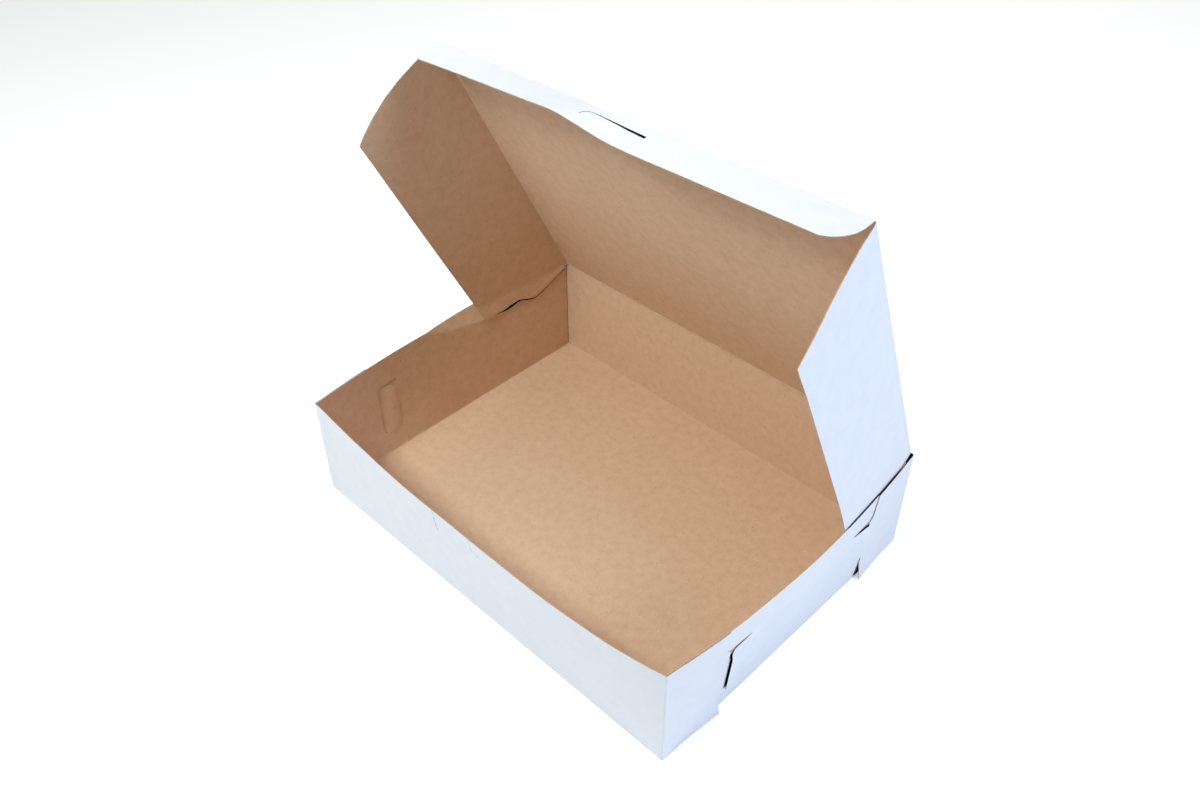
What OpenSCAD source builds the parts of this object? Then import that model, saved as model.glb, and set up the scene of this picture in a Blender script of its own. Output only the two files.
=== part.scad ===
// One-piece bakery box of white-coated kraft paperboard: an open tray with four
// hook-locked corners and a hinged lid with two side flaps and a front tuck flap.
// The origin is the centre of the tray's underside, +Y runs to the lid's hinge.

/* [Tray] */
// Width of the tray between its side walls
box_w = 304.8; // [200:0.2:450]
// Depth of the tray from the front wall to the hinge
box_d = 228.6; // [160:0.2:330]
// Height of the tray's walls
box_h = 76.2; // [60:0.2:120]
// Thickness of the paperboard
board = 0.5; // [0.4:0.05:0.8]

/* [Bowed walls] */
// Outward bow of each side wall at the middle of its rim
side_bow = 8.6; // [0:0.1:14]
// Outward bow of the front wall at the middle of its rim
front_bow = 7.2; // [0:0.1:14]
// How far the foot of a corner ear has sprung outward
ear_spring = 3.2; // [0:0.1:6]

/* [Corner locks] */
// Length of a corner ear along the side wall
ear_len = 45; // [36:0.5:60]
// Free space between two plies of board
ply_gap = 0.2; // [0.15:0.05:0.4]
// Height of a lock's slit above the foot of the wall
lock_foot = 14; // [10:0.5:20]
// Height of the hook tab that covers an ear's tongue
hook_h = 42; // [25:0.5:44]
// Length of the hook tab from its free edge to its root
hook_len = 18; // [14:0.5:26]
// How far the free edge of the hook tab stands off the wall
hook_lift = 2.6; // [2:0.1:4]
// Width of the slit between an ear and the hook tab
slit_w = 1.4; // [0.8:0.1:3]
// Space above and below a tongue in its slit
tongue_play = 0.8; // [0.4:0.1:2]
// Length of the tongue past the slit
tongue_len = 14; // [8:0.5:16]

/* [Lid] */
// Opening angle of the lid from closed
lid_angle = 63.6; // [0:0.5:180]
// Space between the tuck flap's swing and the front wall
lid_front_gap = 0.6; // [0.4:0.1:3]
// Space between each folded side flap and the corner locks' tongues
lid_side_gap = 0.4; // [0.3:0.1:3]
// Height of the lid's crease line above the rim
hinge_rise = 0.6; // [0.6:0.05:1]
// Distance from a crease line to the panels on either side of it
crease = 0.3; // [0.3:0.05:0.5]

/* [Side flaps] */
// Space between a folded side flap and the bottom panel with the lid closed
flap_floor_gap = 1.2; // [0.8:0.1:20]
// How far a side flap's free edge starts from the hinge line
flap_setback = 18; // [8:0.5:30]
// Part of the flap's hinge end that is cut square to its crease
flap_square = 35; // [15:0.5:60]
// Notch in the flap's hinge end at the end of the square cut
flap_notch = 8; // [2:0.5:12]
// How far the arc of a flap's front end stays behind the lid's front crease
flap_arc_gap = 0.6; // [0.4:0.1:4]

/* [Front tuck flap] */
// Depth of the tuck flap from its crease to its free edge
tuck_depth = 25; // [20:0.5:40]
// Corner radius of the tuck flap's free edge
tuck_corner = 18; // [4:0.5:19]
// Length of the lock slit
tuck_slit = 40; // [20:0.5:70]
// Distance of the lock slit from the crease
tuck_slit_in = 8; // [4:0.1:10]
// Radius of the curved end of the lock slit
tuck_slit_bend = 7; // [3:0.1:8]
// Width of a die cut
cut_w = 0.8; // [0.5:0.1:1.5]

/* [Front wall lock tab] */
// Width of the lock tab cut into the front wall's rim
tab_w = 38; // [20:0.5:70]
// Depth of the straight cut beside the lock tab
tab_cut = 19; // [8:0.5:30]
// Depth of the curved cut beside the lock tab
tab_hook = 11; // [6:0.5:16]

/* [Hidden] */

board_white = [0.93, 0.95, 0.98];
kraft_tan = [0.76, 0.58, 0.42];

// Steps along a bowed wall and round a fillet
wall_steps = 24;
ear_steps = 10;
fillet_steps = 6;
ring_fn = 128;

half = board / 2;
ply = board + ply_gap;
// A tab is pressed a little thinner, so that its root lies within the wall
pressed = board * 0.8;
root_lap = 1.5;

// Distances along a side wall, measured from the nearest corner
slit_s = ear_len + 3;
tab_s = slit_s + slit_w;
root_s = tab_s + hook_len;
tongue_s = tab_s + tongue_len;
lock_top = lock_foot + hook_h;

hinge_y = box_d / 2;
hinge_z = box_h + hinge_rise;
// The flaps' crease lines run this far below the lid's middle plane, and the
// flaps hang just outside them
flap_drop = half + crease;
lid_half = box_w / 2 - ply - half - lid_side_gap - crease - board;
swing = box_d - half - lid_front_gap;
lid_len = sqrt(pow(swing, 2) - pow(flap_drop + tuck_depth, 2)) - crease - board;
flap_depth = hinge_z - flap_drop - board - flap_floor_gap;

// The sheet that bows outward between two corners and stands straight on its foot
function bow(share, z, depth) = depth * sin(180 * min(1, max(0, share))) * z / box_h;
function side_out(s, z) = bow(s / box_d, z, side_bow);
function front_out(x, z) = bow(x / box_w + 0.5, z, front_bow);

// An ear's foot springs out towards its free end, below its tongue
function spring_out(s, z) =
    ear_spring * pow(min(1, s / ear_len), 2) * max(0, 1 - z / lock_foot);
// A tongue leaves the outside of the wall at the slit and ends on the inside
function dive(s) = ply * (1 - 2 * min(1, max(0, (s - slit_s) / (tongue_s - slit_s))));

function span(a, b, n) = [for (i = [0:n]) a + (b - a) * i / n];
function unit(v) = v / norm(v);

// Points of the arc that rounds corner b of an outline by radius r
function round_corner(a, b, c, r) =
    let (
        u = unit(a - b),
        w = unit(c - b),
        bend = acos(u * w) / 2,
        mid = b + unit(u + w) * r / sin(bend),
        from = b + u * r / tan(bend) - mid,
        to = b + w * r / tan(bend) - mid,
        start = atan2(from[1], from[0]),
        sweep = atan2(from[0] * to[1] - from[1] * to[0], from * to)
    )
    [for (i = [0:fillet_steps]) mid + r * [cos(start + sweep * i / fillet_steps), sin(start + sweep * i / fillet_steps)]];

// An outline of corners, each given as x, y and the radius that rounds it
function outline(corners) =
    let (n = len(corners), p = [for (q = corners) [q[0], q[1]]])
    [for (i = [0:n - 1])
        each (corners[i][2] > 0
            ? round_corner(p[(i + n - 1) % n], p[i], p[(i + 1) % n], corners[i][2])
            : [p[i]])];

// A curved sheet of board over a grid of s and z, where place(s, z, n) gives the
// point that lies n outside its middle surface
module sheet(s_list, z_list, place, thick) {
    n = len(s_list);
    m = len(z_list);
    points = [for (side = [0.5, -0.5]) for (s = s_list) for (z = z_list) place(s, z, side * thick)];
    at = function(side, i, j) side * n * m + i * m + j;
    skins = [for (i = [0:n - 2]) for (j = [0:m - 2]) each [
        [at(0, i, j), at(0, i, j + 1), at(0, i + 1, j + 1)],
        [at(0, i, j), at(0, i + 1, j + 1), at(0, i + 1, j)],
        [at(1, i, j), at(1, i + 1, j + 1), at(1, i, j + 1)],
        [at(1, i, j), at(1, i + 1, j), at(1, i + 1, j + 1)]]];
    long_rims = [for (i = [0:n - 2]) each [
        [at(0, i, 0), at(0, i + 1, 0), at(1, i + 1, 0)],
        [at(0, i, 0), at(1, i + 1, 0), at(1, i, 0)],
        [at(0, i, m - 1), at(1, i + 1, m - 1), at(0, i + 1, m - 1)],
        [at(0, i, m - 1), at(1, i, m - 1), at(1, i + 1, m - 1)]]];
    short_rims = [for (j = [0:m - 2]) each [
        [at(0, 0, j), at(1, 0, j + 1), at(0, 0, j + 1)],
        [at(0, 0, j), at(1, 0, j), at(1, 0, j + 1)],
        [at(0, n - 1, j), at(0, n - 1, j + 1), at(1, n - 1, j + 1)],
        [at(0, n - 1, j), at(1, n - 1, j + 1), at(1, n - 1, j)]]];
    polyhedron(points, concat(skins, long_rims, short_rims));
}

// A prism through the right-hand wall over an outline of s and z
module through_side(corners) {
    depth = side_bow + ear_spring + 4 * ply + hook_lift;
    translate([box_w / 2 - depth, -box_d / 2, 0])
        rotate([90, 0, 90])
            linear_extrude(height = 2 * depth + hook_lift)
                polygon(outline(corners));
}

// A point of the right-hand wall, s from the front corner
function side_point(s, z, n) = [box_w / 2 + side_out(s, z) + n, s - box_d / 2, z];

// The window that a lock's slit and hook tab leave in the side wall
module lock_window() {
    through_side([
        [slit_s, lock_foot, 3],
        [root_s, lock_foot + tongue_play, 0],
        [root_s, lock_top - tongue_play, 0],
        [slit_s, lock_top, 6]]);
}

// The hook tab of the side wall, which lies over the ear's tongue
module hook_tab() {
    lift = function(s) hook_lift * max(0, (root_s - s) / hook_len);
    intersection() {
        sheet(
            concat(span(tab_s, root_s, 4), [root_s + root_lap]),
            [lock_foot, lock_top],
            function(s, z, n) side_point(s, z, n + lift(s)),
            pressed);
        through_side([
            [tab_s, lock_foot + cut_w, 3],
            [root_s + 2 * root_lap, lock_foot + 2 * cut_w, 0],
            [root_s + 2 * root_lap, lock_top - 2 * cut_w, 0],
            [tab_s, lock_top - cut_w, 5]]);
    }
}

// A corner ear, folded from the front wall round the outside of the side wall,
// with the tongue that passes through the side wall's slit
module corner_ear() {
    ear_foot = board;
    ear_top = box_h - board;
    low = lock_foot + tongue_play;
    high = lock_top - tongue_play;
    intersection() {
        sheet(
            concat(span(0, slit_s, ear_steps), span(slit_s, tongue_s, 4)),
            [0, lock_foot, box_h],
            function(s, z, n) side_point(s, z, n + dive(s) + spring_out(s, z)),
            board);
        through_side([
            [-board, ear_foot, 0],
            [ear_len, ear_foot, 2],
            [ear_len + 1, low, 0.5],
            [slit_s + 2, low, 0],
            [tongue_s, low + 3, 5],
            [tongue_s, high - 4, 8],
            [slit_s + 2, high, 0],
            [ear_len, high + 1, 1],
            [ear_len, ear_top, 3],
            [-board, ear_top, 0]]);
    }
}

// The right-hand side wall with its hook tabs, bent up from the bottom panel
module side_wall() {
    end_gap = half + ply_gap;
    difference() {
        sheet(
            span(end_gap, box_d - end_gap, wall_steps),
            [0, box_h],
            function(s, z, n) side_point(s, z, n),
            board);
        lock_window();
        mirror([0, 1, 0]) lock_window();
    }
    hook_tab();
    mirror([0, 1, 0]) hook_tab();
}

// A cut through the front wall over an outline of x and z
module through_front(corners) {
    depth = front_bow + 2 * board;
    translate([0, -box_d / 2 + board, 0])
        rotate([90, 0, 0])
            linear_extrude(height = depth)
                polygon(outline(corners));
}

// The front wall, whose rim carries the cuts of the lock tab
module front_wall() {
    reach = box_w / 2 + ply + half;
    left = -tab_w / 2;
    right = tab_w / 2;
    difference() {
        sheet(
            concat([-reach], span(-box_w / 2, box_w / 2, wall_steps), [reach]),
            [0, box_h],
            function(x, z, n) [x, -box_d / 2 - front_out(x, z) - n, z],
            board);
        through_front([
            [left, box_h - tab_cut, 0],
            [left + cut_w, box_h - tab_cut, 0],
            [left + cut_w, box_h + board, 0],
            [left, box_h + board, 0]]);
        through_front([
            [right, box_h + board, 0],
            [right, box_h - tab_hook, 3],
            [right + tab_hook / 2, box_h - tab_hook - cut_w, 0],
            [right + tab_hook / 2, box_h - tab_hook, 0],
            [right + cut_w, box_h - tab_hook + cut_w, 2],
            [right + cut_w, box_h + board, 0]]);
    }
}

// The back wall stays flat, because its rim is the lid's crease
module back_wall() {
    reach = box_w + 2 * ply + board;
    translate([-reach / 2, box_d / 2 - half, 0]) cube([reach, board, box_h]);
}

module bottom_panel() {
    translate([-box_w / 2, -box_d / 2, 0]) cube([box_w, box_d, board]);
}

module tray() {
    color(board_white) {
        bottom_panel();
        front_wall();
        back_wall();
        for (side = [0, 1]) {
            mirror([side, 0, 0]) {
                side_wall();
                corner_ear();
                mirror([0, 1, 0]) corner_ear();
            }
        }
    }
}

// Children are drawn closed, with the lid's crease line at the origin, and are
// turned open about it
module on_lid() {
    translate([0, hinge_y, hinge_z]) rotate([-lid_angle, 0, 0]) children();
}

module lid() {
    near = board * 0.4;
    color(kraft_tan) on_lid() {
        translate([-lid_half + crease, -lid_len + crease, -half])
            cube([2 * (lid_half - crease), lid_len - crease - near, board]);
    }
}

// A side flap hangs from the lid's right-hand crease. Its front end is cut to an
// arc about the hinge line, so that it swings past the front wall.
module side_flap() {
    arc_r = lid_len - flap_arc_gap;
    heel = board * 2;
    translate([lid_half + crease, 0, -flap_drop]) rotate([0, 90, 0]) rotate([0, 0, -90]) {
        linear_extrude(height = board) {
            intersection() {
                circle(r = arc_r, $fn = ring_fn);
                polygon(outline([
                    [heel, crease, 0],
                    [heel, flap_square, 1],
                    [flap_notch, flap_square + flap_notch, 2],
                    [flap_setback, flap_depth, 3],
                    [lid_len, flap_depth, 0],
                    [lid_len, crease, 0]]));
            }
        }
    }
}

module right_side_flap() {
    color(board_white) on_lid() side_flap();
}

module left_side_flap() {
    color(kraft_tan) on_lid() mirror([1, 0, 0]) side_flap();
}

// The tuck flap hangs from the lid's front crease and has the lock slit, whose
// left end curls down
module front_flap() {
    reach = lid_half - crease;
    left = -tuck_slit / 2;
    bend = tuck_slit_bend;
    mid = tuck_slit_in + bend;
    color(board_white) on_lid() {
        translate([0, -lid_len - crease, -flap_drop]) rotate([90, 0, 0]) linear_extrude(height = board) {
            difference() {
                mirror([0, 1, 0]) polygon(outline([
                    [-reach, crease, 0],
                    [reach, crease, 0],
                    [reach, tuck_depth, tuck_corner],
                    [-reach, tuck_depth, tuck_corner]]));
                translate([left, -tuck_slit_in - cut_w]) square([tuck_slit, cut_w]);
                intersection() {
                    translate([left, -mid]) difference() {
                        circle(r = bend, $fn = 48);
                        circle(r = bend - cut_w, $fn = 48);
                    }
                    translate([left - bend, -mid]) square([bend, bend]);
                }
            }
        }
    }
}

tray();
lid();
left_side_flap();
right_side_flap();
front_flap();
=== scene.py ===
"""Looks for an open bakery box, folded from one sheet of coated kraft board.

Each panel of the sheet is cut flat in millimetres, as a die would cut it, and
is then bent to its place: folded at its crease, bowed, curled and hooked.
"""

from __future__ import annotations

import logging
import math
from dataclasses import dataclass, field
from enum import IntEnum
from typing import Any, Callable, Sequence

import bpy
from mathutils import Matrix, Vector

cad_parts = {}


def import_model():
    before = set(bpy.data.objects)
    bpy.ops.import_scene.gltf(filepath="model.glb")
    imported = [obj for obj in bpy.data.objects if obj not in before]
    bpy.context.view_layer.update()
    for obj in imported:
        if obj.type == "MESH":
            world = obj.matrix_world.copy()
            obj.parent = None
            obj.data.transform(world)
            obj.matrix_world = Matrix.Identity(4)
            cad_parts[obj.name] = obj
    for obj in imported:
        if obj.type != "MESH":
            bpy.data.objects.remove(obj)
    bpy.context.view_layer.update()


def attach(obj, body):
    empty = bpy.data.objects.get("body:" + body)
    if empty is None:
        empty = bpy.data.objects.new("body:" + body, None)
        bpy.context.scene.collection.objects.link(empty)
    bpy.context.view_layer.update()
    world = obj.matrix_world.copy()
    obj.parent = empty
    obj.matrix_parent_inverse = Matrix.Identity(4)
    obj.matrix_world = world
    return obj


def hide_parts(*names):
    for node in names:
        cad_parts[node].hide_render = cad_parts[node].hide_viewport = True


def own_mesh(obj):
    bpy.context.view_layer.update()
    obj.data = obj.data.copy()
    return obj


LOG = logging.getLogger("bakery_box")
MM = 0.001

# Sizes of the box in millimetres, the same as the solids have
WIDTH = 304.8
DEPTH = 228.6
HEIGHT = 76.2
BOARD = 0.5
PLY = 0.7
HINGE_Y = DEPTH / 2
HINGE_Z = HEIGHT + 0.6
LID_HALF = 150.25
LID_LENGTH = 227.6
CREASE_DROP = 0.55
# How far past the board's middle a groove stops
GROOVE_FLOOR = 0.05

Point = tuple[float, float]
Place = Callable[[float, float, float], Vector]


class Side(IntEnum):
    """The two ends of the box, as seen from its front."""

    LEFT = -1
    RIGHT = 1


class Face(IntEnum):
    """The material slots of a panel."""

    OUTSIDE = 0
    INSIDE = 1
    CUT_EDGE = 2
    # Painted shade: faces painted nearly black where shade falls between layers of board and in grooves
    PAINTED_SHADE = 3


# Shape helpers


def spread(start: float, stop: float, steps: int) -> list[float]:
    """Even stops from start to stop.

    Args:
        start: the first stop.
        stop: the last stop.
        steps: how many gaps lie between them.

    Returns:
        steps + 1 values.
    """
    return [start + (stop - start) * i / steps for i in range(steps + 1)]


def track(x: float, knots: Sequence[Point]) -> float:
    """A smooth curve through knots, level at each end.

    Args:
        x: where to read the curve.
        knots: pairs of place and value, in rising order of place.

    Returns:
        The value at x, by Catmull-Rom between the knots.
    """
    if x <= knots[0][0]:
        return knots[0][1]
    if x >= knots[-1][0]:
        return knots[-1][1]
    i = max(k for k in range(len(knots) - 1) if knots[k][0] <= x)
    (x1, y1), (x2, y2) = knots[i], knots[i + 1]
    x0, y0 = knots[i - 1] if i else (2 * x1 - x2, y1)
    x3, y3 = knots[i + 2] if i + 2 < len(knots) else (2 * x2 - x1, y2)
    t = (x - x1) / (x2 - x1)
    m1 = (y2 - y0) / (x2 - x0) * (x2 - x1)
    m2 = (y3 - y1) / (x3 - x1) * (x2 - x1)
    return (
        y1 * (2 * t**3 - 3 * t**2 + 1)
        + m1 * (t**3 - 2 * t**2 + t)
        + y2 * (3 * t**2 - 2 * t**3)
        + m2 * (t**3 - t**2)
    )


def ease(x: float) -> float:
    """A smooth step from 0 at x = 0 to 1 at x = 1."""
    t = min(1.0, max(0.0, x))
    return t * t * (3 - 2 * t)


def arc(centre: Point, radius: float, start: float, stop: float, steps: int = 6) -> list[Point]:
    """Points on an arc, with its angles in degrees.

    Args:
        centre: the arc's centre.
        radius: its radius.
        start: the angle of the first point.
        stop: the angle of the last point.
        steps: how many chords it has.

    Returns:
        steps + 1 points.
    """
    angles = spread(math.radians(start), math.radians(stop), steps)
    return [(centre[0] + radius * math.cos(a), centre[1] + radius * math.sin(a)) for a in angles]


def ribbon(path: Sequence[Point], widths: Sequence[float]) -> list[Point]:
    """The outline of a cut along a path.

    Args:
        path: the middle line of the cut.
        widths: how wide the cut is at each point, or one width for all.

    Returns:
        A closed outline.
    """
    wide_at = list(widths) * (len(path) if len(widths) == 1 else 1)
    left: list[Point] = []
    right: list[Point] = []
    for i, (x, y) in enumerate(path):
        ax, ay = path[max(0, i - 1)]
        bx, by = path[min(len(path) - 1, i + 1)]
        run = math.hypot(bx - ax, by - ay)
        nx, ny = -(by - ay) / run * wide_at[i] / 2, (bx - ax) / run * wide_at[i] / 2
        left.append((x + nx, y + ny))
        right.append((x - nx, y - ny))
    return right + left[::-1]


def fold(b: float, c: float, radius: float, turn: float) -> Point:
    """A sheet that leaves its neighbour level and folds over by an angle.

    Args:
        b: distance along the sheet's middle from where the fold starts.
        c: height above that middle, towards the outside of the fold.
        radius: bend radius of the middle.
        turn: angle of the whole fold, in radians.

    Returns:
        How far the point has gone forward, and how far to the inside.
    """
    phi = min(b, radius * turn) / radius
    rest = max(0.0, b - radius * turn)
    forward = (radius + c) * math.sin(phi) + rest * math.cos(turn)
    inward = radius - (radius + c) * math.cos(phi) + rest * math.sin(turn)
    return forward, inward


# Sheets of board


def none_selected() -> None:
    """Leaves object mode's selection empty."""
    bpy.ops.object.select_all(action="DESELECT")


class Die:
    """A cutter: a closed outline, drawn through the board."""

    def __init__(self, outline: Sequence[Point], low: float, high: float) -> None:
        """Makes the cutter.

        Args:
            outline: the corners of the cut, in the blank's millimetres.
            low: how low the cutter reaches, from the board's middle.
            high: how high it reaches.
        """
        none_selected()
        bpy.ops.mesh.primitive_circle_add(vertices=len(outline), radius=1, fill_type="NGON")
        self.obj = bpy.context.object
        corners = sorted(self.obj.data.vertices, key=lambda v: v.index)
        for corner, (x, y) in zip(corners, outline):
            corner.co = (x, y, low)
        bpy.ops.object.mode_set(mode="EDIT")
        bpy.ops.mesh.select_all(action="SELECT")
        bpy.ops.mesh.extrude_region_move(TRANSFORM_OT_translate={"value": (0, 0, high - low)})
        bpy.ops.mesh.select_all(action="SELECT")
        bpy.ops.mesh.normals_make_consistent(inside=False)
        bpy.ops.object.mode_set(mode="OBJECT")


class Sheet:
    """A panel of board, cut flat and then bent to its place."""

    def __init__(self, name: str, across: Sequence[float], along: Sequence[float]) -> None:
        """Makes the flat blank from a grid, with lines at the given places.

        Args:
            name: the piece's name.
            across: places of its lines in the first direction, in millimetres.
            along: places of its lines in the second direction.
        """
        none_selected()
        bpy.ops.mesh.primitive_grid_add(x_subdivisions=len(across) - 1, y_subdivisions=len(along) - 1, size=2)
        self.obj = bpy.context.object
        self.obj.name = name
        self.obj.data.name = name
        for vertex in self.obj.data.vertices:
            i = round((vertex.co.x + 1) / 2 * (len(across) - 1))
            j = round((vertex.co.y + 1) / 2 * (len(along) - 1))
            vertex.co = (across[i], along[j], -BOARD / 2)
        bpy.ops.object.mode_set(mode="EDIT")
        bpy.ops.mesh.select_all(action="SELECT")
        bpy.ops.mesh.extrude_region_move(TRANSFORM_OT_translate={"value": (0, 0, BOARD)})
        bpy.ops.mesh.select_all(action="SELECT")
        bpy.ops.mesh.normals_make_consistent(inside=False)
        bpy.ops.object.mode_set(mode="OBJECT")

    def stamp(
        self, outline: Sequence[Point], keep: bool = False, low: float = -2.0, high: float = 2.0
    ) -> "Sheet":
        """Cuts the blank with one die.

        Args:
            outline: the die's corners.
            keep: keeps what is inside the outline instead of what is outside.
            low: how low the die reaches; inside the board it leaves a groove.
            high: how high it reaches.

        Returns:
            The sheet itself.
        """
        die = Die(outline, low, high)
        none_selected()
        self.obj.select_set(True)
        bpy.context.view_layer.objects.active = self.obj
        cut = self.obj.modifiers.new("die", "BOOLEAN")
        cut.operation = "INTERSECT" if keep else "DIFFERENCE"
        cut.solver = "EXACT"
        cut.object = die.obj
        bpy.ops.object.modifier_apply(modifier=cut.name)
        bpy.data.objects.remove(die.obj)
        return self

    def bend(
        self, place: Place, finish: "Board", dress: Callable[[float, float, Face], Face] | None = None
    ) -> bpy.types.Object:
        """Bends the blank to its place and gives it its materials.

        Args:
            place: maps a point of the blank to the box, in millimetres.
            finish: the board's materials.
            dress: gives a face another finish by its place on the blank, such as painted shade.

        Returns:
            The finished piece.
        """
        mesh = self.obj.data
        sides = []
        for polygon in mesh.polygons:
            up = polygon.normal.z
            side = Face.OUTSIDE if up > 0.5 else Face.INSIDE if up < -0.5 else Face.CUT_EDGE
            if dress:
                side = dress(polygon.center.x, polygon.center.y, side)
            if abs(up) > 0.5 and abs(polygon.center.z) < BOARD / 2 - 0.02:
                # The floor of a groove, where the top ply is cut through, is painted nearly black as painted shade
                side = Face.PAINTED_SHADE
            sides.append(side)
        mesh.materials.clear()
        for material in finish.made():
            mesh.materials.append(material)
        for polygon, side in zip(mesh.polygons, sides):
            polygon.material_index = int(side)
        flat = mesh.uv_layers.get("flat") or mesh.uv_layers.new(name="flat")
        for loop in mesh.loops:
            at = mesh.vertices[loop.vertex_index].co
            flat.data[loop.index].uv = (at.x * MM, at.y * MM)
        for vertex in mesh.vertices:
            vertex.co = place(*vertex.co) * MM
        none_selected()
        self.obj.select_set(True)
        bpy.context.view_layer.objects.active = self.obj
        bpy.ops.object.mode_set(mode="EDIT")
        bpy.ops.mesh.select_all(action="SELECT")
        bpy.ops.mesh.quads_convert_to_tris(quad_method="BEAUTY", ngon_method="BEAUTY")
        bpy.ops.mesh.select_all(action="SELECT")
        bpy.ops.mesh.normals_make_consistent(inside=False)
        bpy.ops.object.mode_set(mode="OBJECT")
        bpy.ops.object.shade_smooth_by_angle(angle=math.radians(28))
        return self.obj


# Materials


def linear(code: str, alpha: float = 1.0) -> tuple[float, float, float, float]:
    """An sRGB hex colour as linear values.

    Args:
        code: the colour, such as #C8A888.
        alpha: its opacity.

    Returns:
        Linear red, green and blue, with alpha.
    """
    parts = [int(code[i : i + 2], 16) / 255 for i in (1, 3, 5)]
    red, green, blue = (p / 12.92 if p <= 0.04045 else ((p + 0.055) / 1.055) ** 2.4 for p in parts)
    return (red, green, blue, alpha)


def add(
    tree: bpy.types.NodeTree, kind: str, links: dict[str, Any] | None = None, **settings: Any
) -> bpy.types.Node:
    """Adds a node with its settings and links.

    Args:
        tree: the node tree.
        kind: the node's type name.
        links: input name or number to an output socket or a value.
        settings: properties of the node.

    Returns:
        The new node.
    """
    node = tree.nodes.new(kind)
    for key, value in settings.items():
        setattr(node, key, value)
    for key, value in (links or {}).items():
        socket = node.inputs[int(key) if key.isdigit() else key]
        if isinstance(value, bpy.types.NodeSocket):
            tree.links.new(value, socket)
        else:
            socket.default_value = value
    return node


def ramp(
    tree: bpy.types.NodeTree, source: bpy.types.NodeSocket, stops: Sequence[tuple[float, str]]
) -> bpy.types.NodeSocket:
    """Colours a value with a ramp.

    Args:
        tree: the node tree.
        source: the value, from 0 to 1.
        stops: places and hex colours, in rising order.

    Returns:
        The ramp's colour socket.
    """
    node = add(tree, "ShaderNodeValToRGB", {"Fac": source})
    while len(node.color_ramp.elements) < len(stops):
        node.color_ramp.elements.new(0.5)
    for element, (at, code) in zip(node.color_ramp.elements, stops):
        element.position = at
        element.color = linear(code)
    return node.outputs["Color"]


def blank_material(name: str) -> tuple[bpy.types.Material, bpy.types.NodeTree]:
    """Makes an empty node material.

    Args:
        name: the material's name.

    Returns:
        The material and its tree.
    """
    material = bpy.data.materials.new(name)
    material.use_nodes = True
    material.node_tree.nodes.clear()
    return material, material.node_tree


@dataclass(frozen=True)
class CoatedWhite:
    """Clay coating, blade-spread on the board's outside: smooth, cool white and
    almost matt, with a faint cloudiness where the fibres below take it up."""

    colour: str = "#F1F4FB"
    cloud: str = "#EEF1F9"
    # Clouds in the coat are about 9 mm across, its fine tooth about 0.6 mm
    cloud_scale: float = 1000 / 9
    tooth_scale: float = 1000 / 0.6
    roughness: float = 0.52

    def make(self) -> bpy.types.Material:
        """Builds the material."""
        material, tree = blank_material("clay_coated_white")
        here = add(tree, "ShaderNodeTexCoord").outputs["Object"]
        cloud = add(tree, "ShaderNodeTexNoise", {"Vector": here, "Scale": self.cloud_scale, "Detail": 3.0})
        tooth = add(tree, "ShaderNodeTexNoise", {"Vector": here, "Scale": self.tooth_scale, "Detail": 2.0})
        bump = add(
            tree,
            "ShaderNodeBump",
            {"Height": tooth.outputs["Fac"], "Strength": 0.06, "Distance": 0.0001},
        )
        colour = ramp(tree, cloud.outputs["Fac"], [(0.3, self.cloud), (0.62, self.colour)])
        shader = add(
            tree,
            "ShaderNodeBsdfPrincipled",
            {
                "Base Color": colour,
                "Roughness": self.roughness,
                "IOR": 1.45,
                "Specular IOR Level": 0.3,
                "Normal": bump.outputs["Normal"],
            },
        )
        add(tree, "ShaderNodeOutputMaterial", {"Surface": shader.outputs["BSDF"]})
        return material


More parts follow.
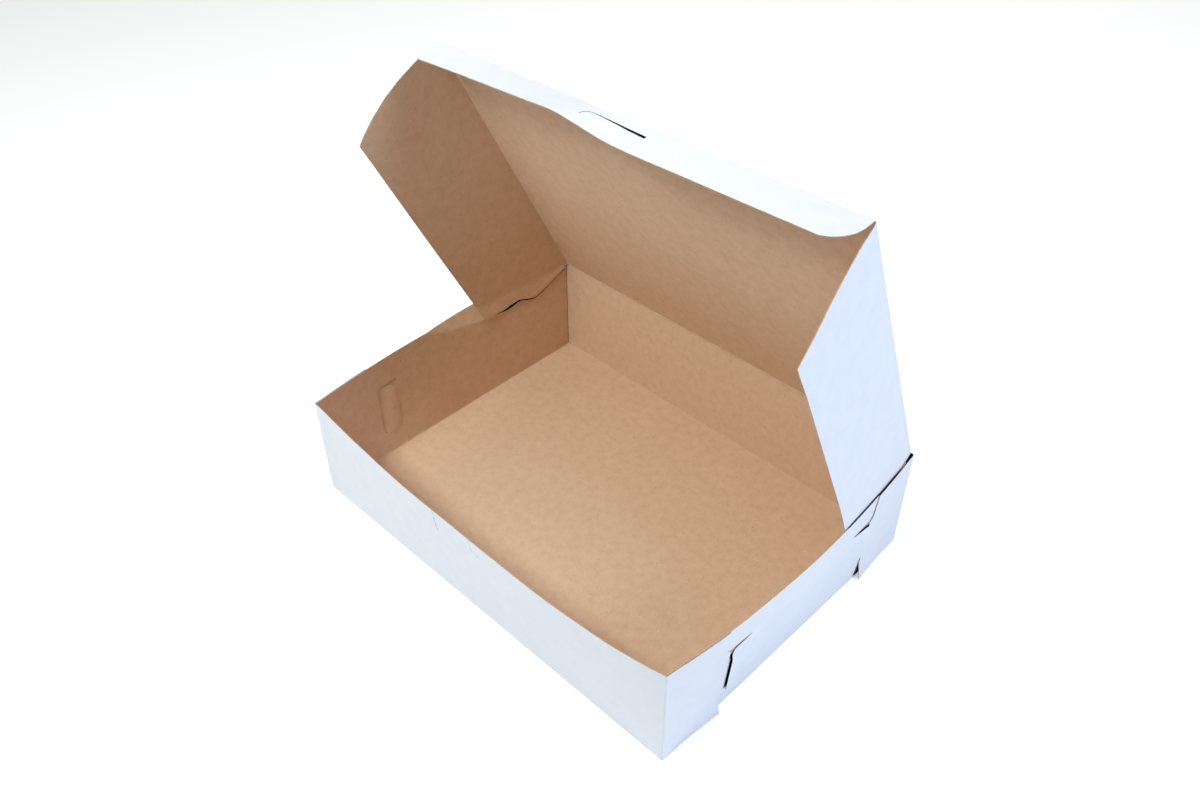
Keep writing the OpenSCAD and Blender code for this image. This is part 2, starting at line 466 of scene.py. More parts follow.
@dataclass(frozen=True)
class BareKraft:
    """Unbleached kraft liner, left bare on the board's inside: dull brown, with
    fine mingled fibres, and darker and paler flecks of recycled pulp."""

    pale: str = "#E1C3A8"
    middle: str = "#DBBC9F"
    dark: str = "#D2B194"
    fleck: str = "#8A674D"
    glint: str = "#EFDCC8"
    # Fibres about 1.1 mm apart, drawn a little coarse so that they show, and
    # clouds in the pulp about 6 mm across
    fibre_scale: float = 1000 / 1.1
    cloud_scale: float = 1000 / 6
    fleck_scale: float = 1000 / 4.2
    glint_scale: float = 1000 / 5.0
    roughness: float = 0.86

    def make(self) -> bpy.types.Material:
        """Builds the material."""
        material, tree = blank_material("bare_kraft")
        here = add(tree, "ShaderNodeTexCoord").outputs["Object"]
        warp = add(tree, "ShaderNodeTexNoise", {"Vector": here, "Scale": 420.0, "Detail": 2.0})
        bent = add(
            tree,
            "ShaderNodeMixRGB",
            {"Fac": 0.0012, "Color1": here, "Color2": warp.outputs["Color"]},
            blend_type="ADD",
        )
        fibre = add(
            tree,
            "ShaderNodeTexNoise",
            {"Vector": bent.outputs["Color"], "Scale": self.fibre_scale, "Detail": 5.0, "Roughness": 0.62},
        )
        cloud = add(tree, "ShaderNodeTexNoise", {"Vector": here, "Scale": self.cloud_scale, "Detail": 4.0})
        blend = add(
            tree,
            "ShaderNodeMath",
            {"0": fibre.outputs["Fac"], "1": cloud.outputs["Fac"]},
            operation="ADD",
        )
        half = add(tree, "ShaderNodeMath", {"0": blend.outputs[0], "1": 0.5}, operation="MULTIPLY")
        base = ramp(tree, half.outputs[0], [(0.33, self.dark), (0.5, self.middle), (0.67, self.pale)])
        spots = add(
            tree,
            "ShaderNodeTexVoronoi",
            {"Vector": bent.outputs["Color"], "Scale": self.fleck_scale, "Randomness": 1.0},
        )
        spot = add(tree, "ShaderNodeMath", {"0": spots.outputs["Distance"], "1": 0.085}, operation="LESS_THAN")
        rare = add(tree, "ShaderNodeSeparateColor", {"Color": spots.outputs["Color"]})
        some = add(tree, "ShaderNodeMath", {"0": rare.outputs["Red"], "1": 0.42}, operation="LESS_THAN")
        fleck = add(tree, "ShaderNodeMath", {"0": spot.outputs[0], "1": some.outputs[0]}, operation="MULTIPLY")
        faint = add(tree, "ShaderNodeMath", {"0": fleck.outputs[0], "1": 0.55}, operation="MULTIPLY")
        flecked = add(
            tree,
            "ShaderNodeMixRGB",
            {"Fac": faint.outputs[0], "Color1": base, "Color2": linear(self.fleck)},
        )
        glints = add(
            tree,
            "ShaderNodeTexVoronoi",
            {"Vector": bent.outputs["Color"], "Scale": self.glint_scale, "Randomness": 1.0},
        )
        near = add(tree, "ShaderNodeMath", {"0": glints.outputs["Distance"], "1": 0.1}, operation="LESS_THAN")
        few = add(tree, "ShaderNodeSeparateColor", {"Color": glints.outputs["Color"]})
        chosen = add(tree, "ShaderNodeMath", {"0": few.outputs["Green"], "1": 0.35}, operation="LESS_THAN")
        both = add(tree, "ShaderNodeMath", {"0": near.outputs[0], "1": chosen.outputs[0]}, operation="MULTIPLY")
        soft = add(tree, "ShaderNodeMath", {"0": both.outputs[0], "1": 0.45}, operation="MULTIPLY")
        colour = add(
            tree,
            "ShaderNodeMixRGB",
            {"Fac": soft.outputs[0], "Color1": flecked.outputs["Color"], "Color2": linear(self.glint)},
        )
        bump = add(
            tree,
            "ShaderNodeBump",
            {"Height": fibre.outputs["Fac"], "Strength": 0.22, "Distance": 0.0002},
        )
        shader = add(
            tree,
            "ShaderNodeBsdfPrincipled",
            {
                "Base Color": colour.outputs["Color"],
                "Roughness": self.roughness,
                "IOR": 1.45,
                "Specular IOR Level": 0.15,
                "Normal": bump.outputs["Normal"],
            },
        )
        add(tree, "ShaderNodeOutputMaterial", {"Surface": shader.outputs["BSDF"]})
        return material


@dataclass(frozen=True)
class CutEdge:
    """The board's die-cut edge: pale pulp between the coat and the kraft, a
    little fuzzy."""

    pale: str = "#CFC4B8"
    dark: str = "#B5A797"
    # Torn fibres about 0.8 mm apart
    fibre_scale: float = 1000 / 0.8

    def make(self) -> bpy.types.Material:
        """Builds the material."""
        material, tree = blank_material("die_cut_edge")
        here = add(tree, "ShaderNodeTexCoord").outputs["Object"]
        fuzz = add(tree, "ShaderNodeTexNoise", {"Vector": here, "Scale": self.fibre_scale, "Detail": 2.0})
        colour = ramp(tree, fuzz.outputs["Fac"], [(0.35, self.dark), (0.6, self.pale)])
        shader = add(
            tree,
            "ShaderNodeBsdfPrincipled",
            {"Base Color": colour, "Roughness": 0.9, "Specular IOR Level": 0.1},
        )
        add(tree, "ShaderNodeOutputMaterial", {"Surface": shader.outputs["BSDF"]})
        return material


@dataclass(frozen=True)
class PaintedShade:
    """Painted shade: board painted nearly black where it lies deep between two layers of board or in a groove, where
    no light gets in.
    """

    colour: str = "#15171B"

    def make(self) -> bpy.types.Material:
        """Builds the material."""
        material, tree = blank_material("painted_shade_board")
        shader = add(
            tree,
            "ShaderNodeBsdfPrincipled",
            {"Base Color": linear(self.colour), "Roughness": 0.95, "Specular IOR Level": 0.0},
        )
        add(tree, "ShaderNodeOutputMaterial", {"Surface": shader.outputs["BSDF"]})
        return material


@dataclass
class Board:
    """The board's finishes and its painted shade, made once and shared by every panel."""

    outside: CoatedWhite = field(default_factory=CoatedWhite)
    inside: BareKraft = field(default_factory=BareKraft)
    edge: CutEdge = field(default_factory=CutEdge)
    # Painted shade, not a finish of the board itself
    shade_paint: PaintedShade = field(default_factory=PaintedShade)
    materials: list[bpy.types.Material] = field(default_factory=list)

    def made(self) -> list[bpy.types.Material]:
        """The materials, in the order of the panel's slots."""
        if not self.materials:
            self.materials = [f.make() for f in (self.outside, self.inside, self.edge, self.shade_paint)]
        return self.materials


# The tray


@dataclass
class Tray:
    """The bottom panel with its four walls, ears and corner locks."""

    finish: Board
    fold_radius: float = 0.75
    corner_radius: float = 0.8
    rim: float = HEIGHT
    # Height of the bead that the score of the lid's hinge raises inside
    hinge_ridge: float = 0.45
    ear: float = 45.0
    ear_spring: float = 3.2
    slit: float = 48.0
    tongue_end: float = 63.4
    tongue_low: float = 16.9
    tab_edge: float = 48.6
    tab_low: float = 17.6
    tab_high: float = 56.0
    tab_root: float = 66.0
    tab_lift: float = 2.4
    # How far from the back wall the lid's right flap goes down behind the rim
    flap_reach: float = 80.0
    # How far each side wall bows out at its rim, by distance from the front wall
    right_bow: tuple[Point, ...] = (
        (0, 0), (19, 2.7), (45, 5.8), (75, 7.6), (112, 8.6), (149, 7.5), (183, 5.0), (210, 2.2),
        (DEPTH, 0),
    )
    front_bow: tuple[Point, ...] = (
        (-152.4, 0), (-125, 2.4), (-99, 4.6), (-53, 7.5), (-12, 8.2), (16, 8.6), (58, 8.8), (77, 8.4),
        (95, 7.4), (113, 6.2), (129, 4.2), (144, 1.7), (152.4, 0),
    )
    left_bow: tuple[Point, ...] = (
        (0, 0), (19, 2.3), (45, 5.1), (74, 7.1), (101, 7.9), (118, 7.9), (135, 8.0), (150, 7.6), (160, 7.9),
        (190, 4.9), (210, 2.4), (DEPTH, 0),
    )

    # A painted shadow along the end of the lid's left flap on the left wall, drawn as a shallow groove
    # with a dark floor: distance from the back wall and height, and how wide it is there
    flap_shadow_line: tuple[Point, ...] = (
        (80, 61.4), (73, 60.8), (68, 60.6), (62, 60.4), (57.5, 60.5), (52, 61.8), (46.5, 62.9), (43, 62.2), (38, 60.4),
        (31, 58.8), (23, 61.6), (14, 66.2), (7, 70.0), (1.5, 73.0),
    )
    flap_shadow_widths: tuple[float, ...] = (0.2, 0.6, 0.6, 0.8, 1.7, 2.6, 1.9, 0.8, 1.0, 0.7, 0.6, 0.5, 0.5, 0.6)
    # A painted shadow beside the right back ear's foot, drawn as a groove with a dark floor, in the same terms
    foot_shadow_line: tuple[Point, ...] = ((45.2, 15.0), (45.5, 9.0), (46.2, 2.0))
    foot_shadow_widths: tuple[float, ...] = (0.4, 1.4, 2.6)

    def bow(self, side: Side, s: float, z: float) -> float:
        """How far a side wall stands out of its plane.

        Args:
            side: which wall.
            s: distance from the front wall.
            z: height above the table.

        Returns:
            The outward distance.
        """
        knots = self.right_bow if side == Side.RIGHT else self.left_bow
        return track(s, knots) * max(0.0, z) / HEIGHT

    def tab_starts(self, z: float) -> float:
        """Distance from the corner to a hook tab's free edge, round its ends.

        Args:
            z: height above the table.
        """
        top, foot = max(0.0, z - self.tab_high + 4.5), max(0.0, self.tab_low + 3.5 - z)
        if top > 4.5 or foot > 3.5:
            return self.tab_root + 9
        return self.tab_edge + 8 - math.sqrt(4.5**2 - top**2) - math.sqrt(3.5**2 - foot**2)

    def tab_root_at(self, z: float) -> float:
        """Distance from the corner to the line on which a hook tab bends."""
        share = min(1.0, max(0.0, (z - self.tab_low) / (self.tab_high - self.tab_low)))
        return self.tab_edge + 5 + (self.tab_root - self.tab_edge - 5) * share

    def tab_lift_at(self, d: float, z: float, back: bool) -> float:
        """How far a hook tab stands off the wall.

        Args:
            d: distance from the nearest corner.
            z: height above the table.
            back: takes a back tab, whose top stands off more than a front tab's.

        Returns:
            The lift, 0 outside the tab.
        """
        if not (self.tab_edge < d < self.tab_root + 1 and self.tab_low < z < self.tab_high):
            return 0.0
        root = self.tab_root_at(z)
        if d >= root or d < self.tab_starts(z):
            return 0.0
        share = (root - d) / (root - self.tab_edge)
        held = 0.9 if back else 0.4
        lift = self.tab_lift * share * (held + (1 - held) * ease((self.tab_high - z) / 9.0))
        # A back tab isn't cut at its foot, and comes up from the wall smoothly
        return lift * ease((z - self.tab_low) / 8) if back else lift

    def tab_cut(self, d_to_s: Callable[[float], float], hooked: bool) -> list[Point]:
        """The C-shaped cut that frees a hook tab, as an outline in s and z.

        Args:
            d_to_s: turns a distance from the corner into one along the wall.
            hooked: curls the cut's foot too, as on the front tabs.
        """
        e = self.tab_edge
        path = [(self.tab_root, self.tab_high), (e + 6, self.tab_high)]
        path += arc((e + 4.5, self.tab_high - 4.5), 4.5, 100, 180, 5)
        path += [(e, z) for z in spread(self.tab_high - 9, self.tab_low + 8, 6)]
        if hooked:
            path += arc((e + 3.5, self.tab_low + 3.5), 3.5, 180, 262, 5) + [(e + 5, self.tab_low)]
        return ribbon([(d_to_s(d), z) for d, z in path], [0.45])

    def height_to_b(self, z: float) -> float:
        """Distance along a wall's sheet at a height above the table."""
        return z - BOARD / 2 - self.fold_radius + self.fold_radius * math.pi / 2

    def b_to_height(self, b: float) -> float:
        """Height above the table at a distance along a wall's sheet."""
        return b + BOARD / 2 + self.fold_radius - self.fold_radius * math.pi / 2

    def side_wall(self, side: Side) -> bpy.types.Object:
        """Makes one side wall with its two hook tabs.

        Args:
            side: which wall.

        Returns:
            The finished piece.
        """
        top = self.height_to_b(self.rim)
        turn = self.fold_radius * math.pi / 2
        across = spread(0.7, DEPTH - 0.7, 150)
        along = spread(0, turn, 4) + spread(turn + 1.2, top, 50)
        sheet = Sheet(f"{side.name.lower()}_wall", across, along)

        def lower(points: Sequence[Point]) -> list[Point]:
            """Gives the points with heights measured on the blank."""
            return [(s, self.height_to_b(z)) for s, z in points]

        sheet.stamp(lower(self.tab_cut(lambda d: d, hooked=True)))
        # The left back tab is only cut half through, from the outside, and the floor of that groove is painted dark as
        # painted shade
        back_cut = lower(self.tab_cut(lambda d: DEPTH - d, hooked=False))
        sheet.stamp(back_cut, low=0.0 if side == Side.LEFT else -2.0)
        if side == Side.LEFT:
            # A shallow groove in the wall's kraft ply, its floor painted dark: painted shadow along the end of the
            # lid's flap
            flap_shadow_groove = ribbon([(DEPTH - d, z) for d, z in self.flap_shadow_line], self.flap_shadow_widths)
            sheet.stamp(lower(flap_shadow_groove), high=-GROOVE_FLOOR)
        else:
            # The ear's foot gapes from the wall; a groove with a dark floor paints the shadow there
            foot_shadow_groove = ribbon([(DEPTH - d, z) for d, z in self.foot_shadow_line], self.foot_shadow_widths)
            sheet.stamp(lower(foot_shadow_groove), low=GROOVE_FLOOR)
        # The wall's back end is trimmed lower, behind the ear that covers it
        trim = [(DEPTH + 2, 90), (DEPTH - 46, 90), (DEPTH - 45, self.rim - 0.2), (DEPTH - 30, self.rim - 1.2)]
        sheet.stamp(lower(trim + [(DEPTH + 2, self.rim - 1.6)]))

        def dress(s: float, b: float, face: Face) -> Face:
            """Gives painted shade, nearly black, to the wall's outside behind the ears and to cut edges that lie deep
            between two layers of board.
            """
            d, z = min(s, DEPTH - s), self.b_to_height(b)
            back = s > HINGE_Y
            # Painted shade on the wall's outside, behind the ear
            if face == Face.OUTSIDE and d < self.ear - 1:
                return Face.PAINTED_SHADE
            if face != Face.CUT_EDGE:
                return face
            # Painted shade on the hook tab's cut edges
            if self.tab_edge - 1 < d < self.tab_root + 1 and self.tab_low - 1 < z < self.tab_high + 1:
                return Face.PAINTED_SHADE
            # Painted shade on the rim's cut edges beside the lid's flap, deep between two layers of board
            covered = self.flap_reach if side == Side.RIGHT else self.ear + 1
            return Face.PAINTED_SHADE if back and d < covered and z > self.rim - 3 else face

        def place(s: float, b: float, c: float) -> Vector:
            """Stands the wall up from its crease."""
            out, up = fold(b, c, self.fold_radius, math.pi / 2)
            z = BOARD / 2 + up
            d = min(s, DEPTH - s)
            x = WIDTH / 2 - self.fold_radius + out + self.bow(side, s, z)
            if side == Side.RIGHT or s < HINGE_Y:
                x += self.tab_lift_at(d, z, s > HINGE_Y)
            x += self.buckle(s, z) if side == Side.LEFT else 0.0
            return Vector((side * x, s - DEPTH / 2, z))

        return sheet.bend(place, self.finish, dress)

    def buckle(self, s: float, z: float) -> float:
        """How far the left rim is pushed out above the crease that the lid's
        left flap has pressed into the wall.

        Args:
            s: distance from the front wall.
            z: height above the table.

        Returns:
            The outward distance.
        """
        knots = ((97, 76.4), (108, 71.5), (120, 67.5), (135, 64.5), (150, 62.5), (160, 70), (166, 76.4))
        crease = track(s, knots)
        reach = ease((s - 96) / 10) * (1 - ease((s - 150) / 14))
        return 0.25 * max(0.0, z - crease) * reach

    def ear_offset(self, d: float, z: float) -> float:
        """How far an ear stands off the side wall's plane.

        Args:
            d: distance from the front or back wall.
            z: height above the table.

        Returns:
            The outward distance of the ear's middle.
        """
        foot = self.ear_spring * min(1.0, d / self.ear) ** 2 * max(0.0, 1 - z / 14.0)
        through = min(self.tongue_end, self.tab_root_at(z) + 1)
        dive = ease((d - self.slit) / (through - self.slit))
        return PLY * (1 - 2 * dive) + foot

    def end_wall(self, name: str, back: bool) -> bpy.types.Object:
        """Makes the front or the back wall, with the ears that wrap its corners.

        Args:
            name: the piece's name.
            back: makes the back wall, which stands straight.

        Returns:
            The finished piece.
        """
        r = self.corner_radius
        straight = WIDTH / 2 + PLY - r
        wrap = r * math.pi / 2
        reach = straight + wrap - r + self.tongue_end
        turn = self.fold_radius * math.pi / 2
        top = self.height_to_b(HINGE_Z - BOARD / 2 if back else self.rim)
        ears = spread(straight + wrap, reach, 52)
        half = spread(0, straight, 60) + spread(straight, straight + wrap, 6)[1:] + ears[1:]
        across = [-a for a in half[:0:-1]] + half
        along = spread(0, turn, 4) + spread(turn + 1.2, top - 2.5, 52) + spread(top - 2, top, 5)
        sheet = Sheet(name, across, along)
        foot = WIDTH / 2 - 0.4
        tip = straight + wrap - r
        # A back tab isn't cut at its foot, so its tongue starts higher
        low = self.tongue_low + (8.5 if back else 0.0)
        for sign in (-1, 1):
            # Below the ear, above the tongue and below the tongue
            free = [
                [(foot, -2), (tip + 70, -2), (tip + 70, 0.6), (foot, 0.6)],
                [(tip + 44.5, 80), (tip + 45, 59), (tip + 46.5, 56.8), (tip + self.slit, 55.6),
                 (tip + 55, 55.2)] + arc((tip + 56, 47.2), 8, 90, 22, 6) + [(tip + 80, 40), (tip + 80, 80)],
                [(tip + 45, -2), (tip + 80, -2), (tip + 80, low + 15), (tip + 62.5, low + 6), (tip + 57, low),
                 (tip + self.slit + 1, low), (tip + 46, low - 0.8), (tip + 45, low - 3)],
            ]
            for outline in free:
                sheet.stamp([(sign * a, self.height_to_b(z)) for a, z in outline])
        if back:
            # At the left the tongue has slipped out of sight behind the wall
            stop = -tip - self.slit - 0.9
            sheet.stamp([(-tip - 80, -2), (stop, -2), (stop, 80), (-tip - 80, 80)])
            ear_top = self.height_to_b(self.rim - 0.4)
            for sign in (1, -1):
                near, far = sign * (straight + wrap - 0.2), sign * (reach + 3)
                sheet.stamp([(near, ear_top), (far, ear_top), (far, top + 2), (near, top + 2)])
        else:
            for outline in self.lock_tab_cuts(top):
                sheet.stamp(outline)
        facing = 1.0 if back else -1.0

        def place(a: float, b: float, c: float) -> Vector:
            """Folds the wall up and its ends round the corners."""
            side = Side.RIGHT if a > 0 else Side.LEFT
            level = abs(a) <= foot
            if level:
                out, up = fold(b, c, self.fold_radius, math.pi / 2)
            else:
                out, up = self.fold_radius + c, b - turn + self.fold_radius
            z = BOARD / 2 + up
            c_out = out - self.fold_radius
            if back:
                c_out -= self.hinge_ridge * math.exp(-(((z - self.rim) / 0.6) ** 2))
            if abs(a) <= straight:
                if not back:
                    c_out += track(a, self.front_bow) * max(0.0, z) / HEIGHT
                return Vector((a, facing * (DEPTH / 2 + c_out), z))
            theta = min(math.pi / 2, (abs(a) - straight) / r)
            if theta < math.pi / 2:
                d = r - (r + c_out) * math.cos(theta)
            else:
                d = abs(a) - straight - wrap + r
            x = straight + (r + c_out) * math.sin(theta)
            s = DEPTH - d if back else d
            if theta >= math.pi / 2:
                x += self.bow(side, s, z) + self.ear_offset(d, z) - PLY
            return Vector((side * x, s - DEPTH / 2, z))

        def dress(a: float, b: float, face: Face) -> Face:
            """Paints dark, as painted shade, the faces that lie between the ear and the wall, the tongue's outside
            under the hook tab and the back corner by the rim.
            """
            d = abs(a) - tip
            z = self.b_to_height(b)
            # Painted shade on the ear's inside against the wall, and on the inside at the back right corner below the
            # rim
            corner = back and a > straight - 4 and z > self.rim - 9
            if face == Face.INSIDE and (-0.5 < d < self.slit - 1 or corner):
                return Face.PAINTED_SHADE
            # Painted shade on the tongue's outside where it goes under the hook tab
            if face == Face.OUTSIDE and d > self.tab_starts(z) - (1.4 if z > self.tab_high - 7 else 0.2):
                return Face.PAINTED_SHADE
            # Painted shade on the cut edges at the back corner's rim
            if back and face == Face.CUT_EDGE and z > self.rim - 3 and abs(a) > straight - 3:
                return Face.PAINTED_SHADE
            return Face.INSIDE if face == Face.CUT_EDGE and d > self.slit + 1 else face

        return sheet.bend(place, self.finish, dress)

    def lock_tab_cuts(self, top: float) -> list[list[Point]]:
        """The two cuts beside the lock tab in the front wall's rim.

        Args:
            top: the rim's place along the sheet.
        """
        straight = ribbon([(-23.5, top + 1), (-23.3, top - 9), (-22.6, top - 18)], [0.35])
        hook = [(9.5, top + 1), (9.3, top - 3), (10, top - 6)] + arc((14.5, top - 6.5), 4.5, 190, 265, 5)
        return [straight, ribbon(hook + [(17.5, top - 11)], [0.35])]

    def bottom(self) -> bpy.types.Object:
        """Makes the bottom panel."""
        half_x = WIDTH / 2 - self.fold_radius
        half_y = DEPTH / 2 - self.fold_radius
        sheet = Sheet("bottom_panel", spread(-half_x, half_x, 40), spread(-half_y, half_y, 30))

        def place(x: float, y: float, c: float) -> Vector:
            """Lays the blank flat."""
            # The blank lies white side up here, and is turned over
            return Vector((x, -y, BOARD / 2 - c))

        return sheet.bend(place, self.finish)

    def build(self) -> list[bpy.types.Object]:
        """Makes the whole tray as one piece.

        Returns:
            The joined piece, in a list.
        """
        parts = [
            self.bottom(),
            self.side_wall(Side.LEFT),
            self.side_wall(Side.RIGHT),
            self.end_wall("front_wall", back=False),
            self.end_wall("back_wall", back=True),
        ]
        none_selected()
        for part in parts:
            part.select_set(True)
        bpy.context.view_layer.objects.active = parts[0]
        bpy.ops.object.join()
        piece = bpy.context.object
        piece.name = "folded_tray"
        piece.data.name = "folded_tray"
        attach(piece, "tray")
        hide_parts("tray")
        return [piece]


# The lid


@dataclass
class Lid:
    """The lid with its side flaps and tuck flap."""

    finish: Board
    # The lid is a little twisted: its left edge is less open than its right
    left_open: float = 63.6
    right_open: float = 65.1
    # The lid is a little wider at its front than at its hinge, and longer at
    # its left edge than at its right
    left_flare: float = 1.3
    right_flare: float = 0.8
    left_extra: float = 0.6
    fold_radius: float = CREASE_DROP
    tuck_depth: float = 25.4
    # Depth of each side flap below the lid, by distance from the hinge
    left_depth: tuple[Point, ...] = ((0, 76.7), (17, 76.7), (100, 76.2), (205, 75.5), (228, 75.5))
    right_depth: tuple[Point, ...] = ((0, 74.9), (228, 74.9))
    # Front end of each side flap: distance from the hinge, then from the crease
    left_end: tuple[Point, ...] = (
        (227.6, -2), (227.9, 8), (227.9, 18), (226.6, 33), (224, 46), (220, 58), (215, 69), (212, 74), (208, 82),
    )
    right_end: tuple[Point, ...] = (
        (227.4, -2), (226.6, 7), (226, 13), (222.5, 32), (219.6, 44), (216, 56), (213, 70), (212, 77), (211, 82),
    )
    # Distance that each side flap's free edge has sprung outward, by distance
    # from the hinge, and the same where it passes the wall's rim
    right_spring: tuple[Point, ...] = (
        (0, 7.6), (5, 6.8), (10, 6.5), (20, 6.6), (30, 7.6), (35, 8.4), (62, 9.4), (87, 9.4), (133, 9.1), (184, 8.8),
        (207, 8.0),
    )
    right_rim_spring: tuple[Point, ...] = (
        (0, 0.2), (5, 2.2), (10, 3.4), (20, 5.6), (30, 7.5), (35, 8.4), (62, 9.4), (87, 9.4), (133, 9.1), (184, 8.8),
        (207, 8.0),
    )
    left_spring: tuple[Point, ...] = (
        (0, 7.0), (5, 6.4), (10, 6.3), (20, 6.6), (30, 7.7), (37, 8.4), (80, 8.4), (125, 8.0), (169, 7.2), (204, 6.4),
    )
    left_rim_spring: tuple[Point, ...] = (
        (0, 0.2), (5, 2.0), (10, 3.2), (20, 5.4), (30, 7.4), (37, 8.4), (80, 8.4), (125, 8.0), (169, 7.2), (204, 6.4),
    )
    # How far the tuck flap leans back as the lid closes, in degrees
    tuck_lean: float = 28.0
    # The side flap's full depth, and the line on it where it crosses the tray's rim
    flap_depth: float = 75.0
    rim_slope: float = 2.1
    rim_start: float = 1.4
    # Angle between the tuck flap and the lid's plane, from the left end
    tuck_turn: tuple[Point, ...] = (
        (-150, 64.5), (-125, 62), (-100, 60), (-50, 57), (-30, 56), (-16, 60), (12, 69), (60, 70), (150, 70),
    )

    def opening(self, x: float) -> float:
        """The lid's opening angle at a place across it, in radians."""
        share = (x + LID_HALF) / (2 * LID_HALF)
        return math.radians(self.left_open + (self.right_open - self.left_open) * share)

    def edge(self, side: float, u: float) -> float:
        """Half the lid's width at a distance from its hinge.

        Args:
            side: below 0 for the left half.
            u: distance from the hinge.
        """
        return LID_HALF + (self.left_flare if side < 0 else self.right_flare) * u / LID_LENGTH

    def length(self, x: float) -> float:
        """Distance from the hinge to the front crease at a place across the lid."""
        return LID_LENGTH + self.left_extra * (LID_HALF - x) / (2 * LID_HALF)

    def at(self, x: float, u: float, v: float) -> Vector:
        """A point by the lid's own directions.

        Args:
            x: distance across the box.
            u: distance from the hinge along the lid.
            v: distance from the lid's middle plane to its inside.

        Returns:
            The point in the box.
        """
        a = self.opening(max(-LID_HALF, min(LID_HALF, x)))
        y = HINGE_Y - u * math.cos(a) - v * math.sin(a)
        z = HINGE_Z + u * math.sin(a) - v * math.cos(a)
        return Vector((x, y, z))

    def panel(self) -> bpy.types.Object:
        """Makes the lid's own panel."""
        sheet = Sheet("lid_panel", spread(-LID_HALF, LID_HALF, 60), spread(0, LID_LENGTH, 46))

        def place(x: float, u: float, c: float) -> Vector:
            """Lays the blank in the raised plane."""
            wide = x * self.edge(x, u) / LID_HALF
            return self.at(wide, u * self.length(x) / LID_LENGTH, -c)

        piece = sheet.bend(place, self.finish)
        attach(piece, "lid")
        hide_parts("lid")
        return piece

    def side_flap(self, side: Side) -> bpy.types.Object:
        """Makes one side flap.

        Args:
            side: which flap.

        Returns:
            The finished piece.
        """
        left = side == Side.LEFT
        depths = self.left_depth if left else self.right_depth
        knots = self.left_spring if left else self.right_spring
        rim_knots = self.left_rim_spring if left else self.right_rim_spring
        turn = self.fold_radius * math.pi / 2
        deepest = max(v for _, v in depths)
        across = spread(0, 230, 92)
        along = spread(0, turn, 4) + spread(turn + 1, deepest + 1, 40)
        sheet = Sheet(f"{side.name.lower()}_flap", across, along)

        def down(u: float, v: float) -> Point:
            """Gives a point with its depth measured on the blank."""
            return (u, v - self.fold_radius + turn)

        hinge_end = ((0.8, 33.0), (3.0, 39.5), (9.8, 46.0), (13.4, 56.0), (18.5, 72.0))
        outline = [(0.8, -2.0)] + [down(u, v) for u, v in hinge_end]
        outline += [down(u, track(u, depths)) for u in spread(20.5, 211.2 if left else 212.3, 12)]
        front = self.left_end if left else self.right_end
        outline += [down(u, v) for u, v in reversed(front) if v < track(u, depths)]
        sheet.stamp(outline, keep=True)

        def place(u: float, b: float, c: float) -> Vector:
            """Folds the flap down from its crease."""
            forward, inward = fold(b, c, self.fold_radius, math.pi / 2)
            share = max(0.0, inward) / self.flap_depth
            # Where the flap goes down behind the rim, it lies along the wall
            rim = min(1.0, (self.rim_slope * u + self.rim_start) / self.flap_depth)
            near, full = track(u, rim_knots), track(u, knots)
            if share < rim:
                spring = near * (share / rim) ** (1.0 + 0.1 * ease((u - 30) / 30))
            else:
                spring = near + (full - near) * (share - rim) / max(0.01, 1 - rim)
            stretch = self.length(side * LID_HALF) / LID_LENGTH
            point = self.at(side * LID_HALF, u * stretch, inward)
            point.x = side * (self.edge(side, u) + forward + spring)
            return point

        piece = sheet.bend(place, self.finish)
        body = f"{side.name.lower()}_side_flap"
        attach(piece, body)
        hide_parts(body)
        self.relax(piece)
        return piece

    def relax(self, piece: bpy.types.Object) -> None:
        """Gives a flap its own copy of its mesh.

        Args:
            piece: the flap.
        """
        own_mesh(piece)

    def tuck_flap(self) -> bpy.types.Object:
        """Makes the front tuck flap with its lock slit."""
        full = self.tuck_depth
        half = LID_HALF
        along = spread(0, self.fold_radius * 1.3, 4) + spread(1.4, full + 0.5, 22)
        across = spread(-half - 1, half + 1, 150)
        sheet = Sheet("tuck_flap", across, along)
        r = 18.0
        right = arc((half - r, 7.4), r, 0, 74, 10)
        left = [(-x, w) for x, w in right[::-1]]
        outline = [(half, -1.0)] + right + left + [(-half, -1.0)]
        sheet.stamp(outline, keep=True)
        slit = [(-20.8, 14.6)] + arc((-15.2, 13.4), 5.6, 184, 264, 6)
        slit += [(-9, 7.9), (0, 8.1), (10, 8.5), (20.5, 9.0)]
        # The slit is a groove from the outside, with its floor and cut edges painted dark as painted shade
        sheet.stamp(ribbon(slit, [0.5] * 8 + [0.8, 1.2, 1.7, 2.1]), low=-0.2)

        def dress(x: float, w: float, face: Face) -> Face:
            """Paints the cut edges inside the slit dark, as painted shade."""
            return Face.PAINTED_SHADE if face == Face.CUT_EDGE and abs(x) < 22 and 6 < w < 16 else face

        def place(x: float, w: float, c: float) -> Vector:
            """Turns the flap down by the angle of its place along the crease."""
            angle = math.radians(track(x, self.tuck_turn))
            forward, inward = fold(w, c, self.fold_radius, angle)
            a = self.opening(x)
            base = self.at(x * self.edge(x, LID_LENGTH) / LID_HALF, self.length(x), 0)
            along_lid = Vector((0, -math.cos(a), math.sin(a)))
            into = Vector((0, -math.sin(a), -math.cos(a)))
            return base + along_lid * forward + into * inward

        piece = sheet.bend(place, self.finish, dress)
        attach(piece, "front_flap")
        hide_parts("front_flap")
        self.relax(piece)
        return piece

    def build(self) -> list[bpy.types.Object]:
        """Makes the lid's four pieces."""
        return [self.panel(), self.side_flap(Side.LEFT), self.side_flap(Side.RIGHT), self.tuck_flap()]


# The studio


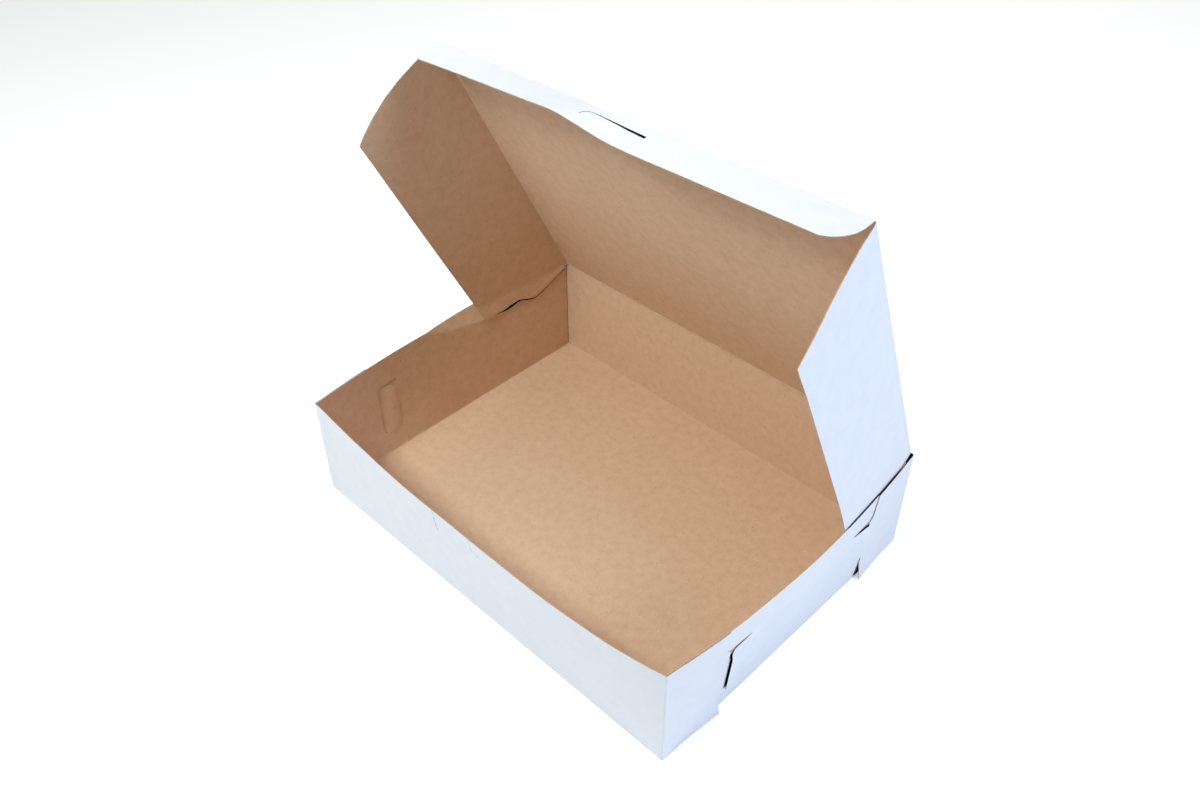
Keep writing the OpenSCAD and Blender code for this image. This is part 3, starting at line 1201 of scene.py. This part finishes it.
@dataclass
class Lamp:
    """One soft lamp: where it stands, where it aims, its size and its power."""

    name: str
    place: tuple[float, float, float]
    aim: tuple[float, float, float]
    size: float
    power: float
    colour: str = "#FFFFFF"

    def hang(self) -> bpy.types.Object:
        """Puts the lamp in the scene."""
        data = bpy.data.lights.new(self.name, "AREA")
        data.shape = "DISK"
        data.size = self.size
        data.energy = self.power
        data.color = linear(self.colour)[:3]
        lamp = bpy.data.objects.new(self.name, data)
        bpy.context.scene.collection.objects.link(lamp)
        lamp.visible_camera = False
        lamp.location = self.place
        way = Vector(self.aim) - Vector(self.place)
        lamp.rotation_euler = way.to_track_quat("-Z", "Y").to_euler()
        return lamp


@dataclass
class Studio:
    """White table and backdrop, soft lamps and the camera."""

    eye: tuple[float, float, float] = (0.36944, -0.38201, 0.55051)
    turn: tuple[float, float, float] = (49.7189, 0.1761, 44.302)
    lens: float = 33.7595
    ambient: float = 0.12
    lamps: tuple[Lamp, ...] = (
        Lamp("overhead_softbox", (-0.12, -0.6, 0.9), (-0.05, -0.02, 0.0), 0.25, 6.6, "#F8FFFD"),
        Lamp("lid_softbox", (-0.25, -0.15, 0.85), (-0.05, -0.02, 0.0), 0.25, 0.9),
        Lamp("right_fill", (1.4, 0.4, 0.75), (0.0, 0.0, 0.1), 0.8, 14.6, "#E1EDFF"),
        Lamp("back_softbox", (-0.5, 1.2, 1.2), (0.0, 0.0, 0.1), 0.8, 4.5, "#FFF4E4"),
        Lamp("left_fill", (-0.6, -1.4, 0.3), (0.0, 0.0, 0.1), 0.8, 2.2, "#FFF1E6"),
    )

    def camera(self) -> None:
        """Sets up the camera at the photograph's viewpoint."""
        data = bpy.data.cameras.new("camera")
        data.lens = self.lens
        data.sensor_width = 36.0
        data.sensor_fit = "HORIZONTAL"
        data.clip_start = 0.01
        camera = bpy.data.objects.new("camera", data)
        camera.location = self.eye
        camera.rotation_euler = tuple(math.radians(a) for a in self.turn)
        bpy.context.scene.collection.objects.link(camera)
        bpy.context.scene.camera = camera

    def table(self) -> None:
        """Lays the white table that fills the view and keeps the shadow."""
        none_selected()
        bpy.ops.mesh.primitive_plane_add(size=12, location=(0, 0, -0.0002))
        table = bpy.context.object
        table.name = "table"
        material, tree = blank_material("white_table")
        diffuse = add(tree, "ShaderNodeBsdfDiffuse", {"Color": linear("#F2F3F5")})
        glow = add(tree, "ShaderNodeEmission", {"Color": (1.0, 1.0, 1.0, 1.0), "Strength": 0.52})
        path = add(tree, "ShaderNodeLightPath")
        none = add(tree, "ShaderNodeEmission", {"Color": (0.0, 0.0, 0.0, 1.0), "Strength": 0.0})
        seen = add(
            tree,
            "ShaderNodeMixShader",
            {"0": path.outputs["Is Camera Ray"], "1": none.outputs[0], "2": glow.outputs[0]},
        )
        total = add(tree, "ShaderNodeAddShader", {"0": diffuse.outputs[0], "1": seen.outputs[0]})
        add(tree, "ShaderNodeOutputMaterial", {"Surface": total.outputs[0]})
        table.data.materials.append(material)

    def world(self) -> None:
        """Sets plain soft light from all round, and white where the camera looks."""
        world = bpy.data.worlds.new("studio")
        bpy.context.scene.world = world
        world.use_nodes = True
        tree = world.node_tree
        tree.nodes.clear()
        path = add(tree, "ShaderNodeLightPath")
        soft = add(tree, "ShaderNodeBackground", {"Color": linear("#FFFFFF"), "Strength": self.ambient})
        white = add(tree, "ShaderNodeBackground", {"Color": (1.0, 1.0, 1.0, 1.0), "Strength": 1.0})
        mixed = add(
            tree,
            "ShaderNodeMixShader",
            {"0": path.outputs["Is Camera Ray"], "1": soft.outputs[0], "2": white.outputs[0]},
        )
        add(tree, "ShaderNodeOutputWorld", {"Surface": mixed.outputs[0]})

    def build(self) -> None:
        """Sets up the camera, the table, the world and the lamps."""
        bpy.context.scene.view_settings.view_transform = "Standard"
        self.camera()
        self.table()
        self.world()
        for lamp in self.lamps:
            lamp.hang()


def main() -> None:
    """Builds the box's panels and the studio, and reports each piece."""
    logging.basicConfig(level=logging.INFO, format="%(message)s")
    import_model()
    finish = Board()
    pieces = Tray(finish).build() + Lid(finish).build()
    Studio().build()
    for piece in pieces:
        LOG.info("%s: %d faces", piece.name, len(piece.data.polygons))


if __name__ == "__main__":
    main()
